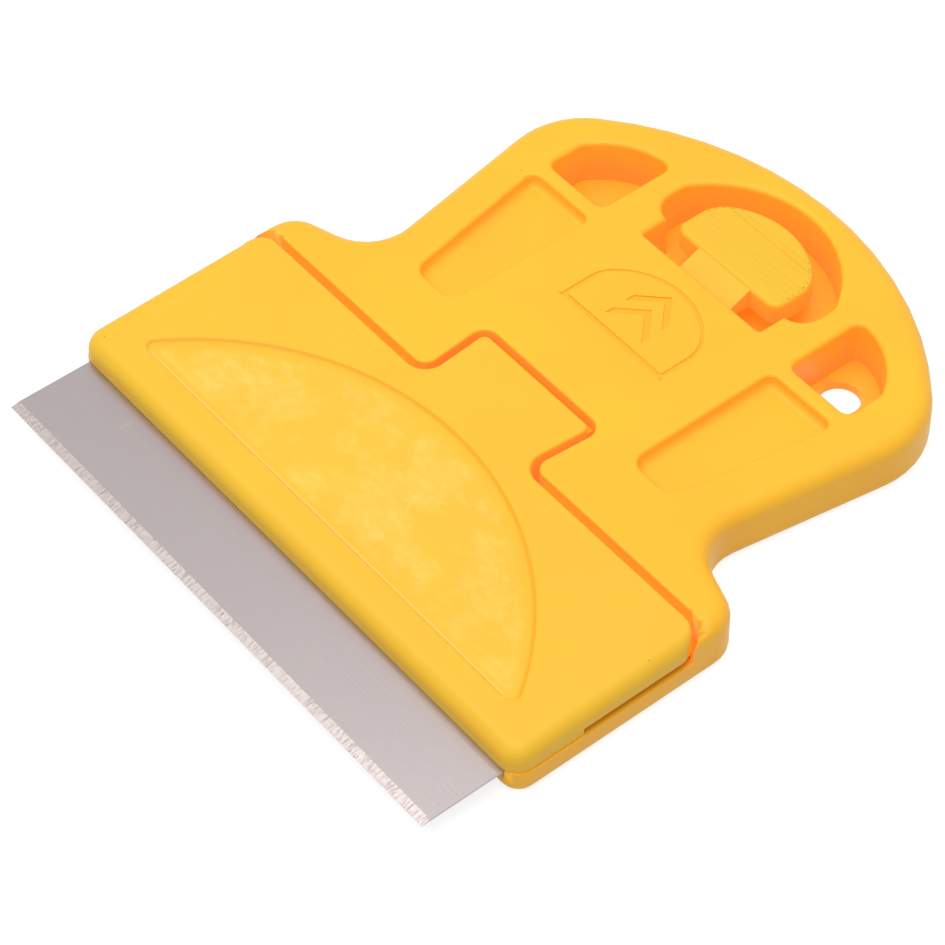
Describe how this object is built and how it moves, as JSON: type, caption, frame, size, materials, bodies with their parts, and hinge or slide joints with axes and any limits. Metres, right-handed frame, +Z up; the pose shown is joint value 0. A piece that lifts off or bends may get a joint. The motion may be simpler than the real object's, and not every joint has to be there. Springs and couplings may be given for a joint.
{
  "type": "razor blade scraper",
  "caption": "Palm-size plastic scraper with a wide flat steel blade held by a rocking clamp that opens when the rear button is pressed.",
  "frame": {"origin": "middle of the scraper's outline on the plane that its underside rests on", "axes": "+X to the right along the blade, +Y from the cutting edge to the rear of the handle, +Z up through the top of the handle"},
  "size_m": [0.1052, 0.1216, 0.0097],
  "materials": {
    "yellow_handle": "satin",
    "yellow_clamp": "satin",
    "blade_steel": "satin",
    "pin_steel": "satin"
  },
  "bodies": {
    "handle": {"handle_body": "yellow_handle", "bottom_cover": "yellow_handle", "blade": "blade_steel", "hinge_pin": "pin_steel", "button_spring": "pin_steel"},
    "clamp": {"blade_clamp": "yellow_clamp"}
  },
  "joints": [
    {"name": "clamp_rock", "type": "hinge", "parent": "handle", "child": "clamp", "pos_m": [0, 0.0058, 0.00465], "axis": [-1, 0, 0], "range_deg": [0, 4.2], "stiffness_Nm_per_rad": 0.6, "springref_deg": -5.73, "deforming": ["button_spring"]}
  ]
}
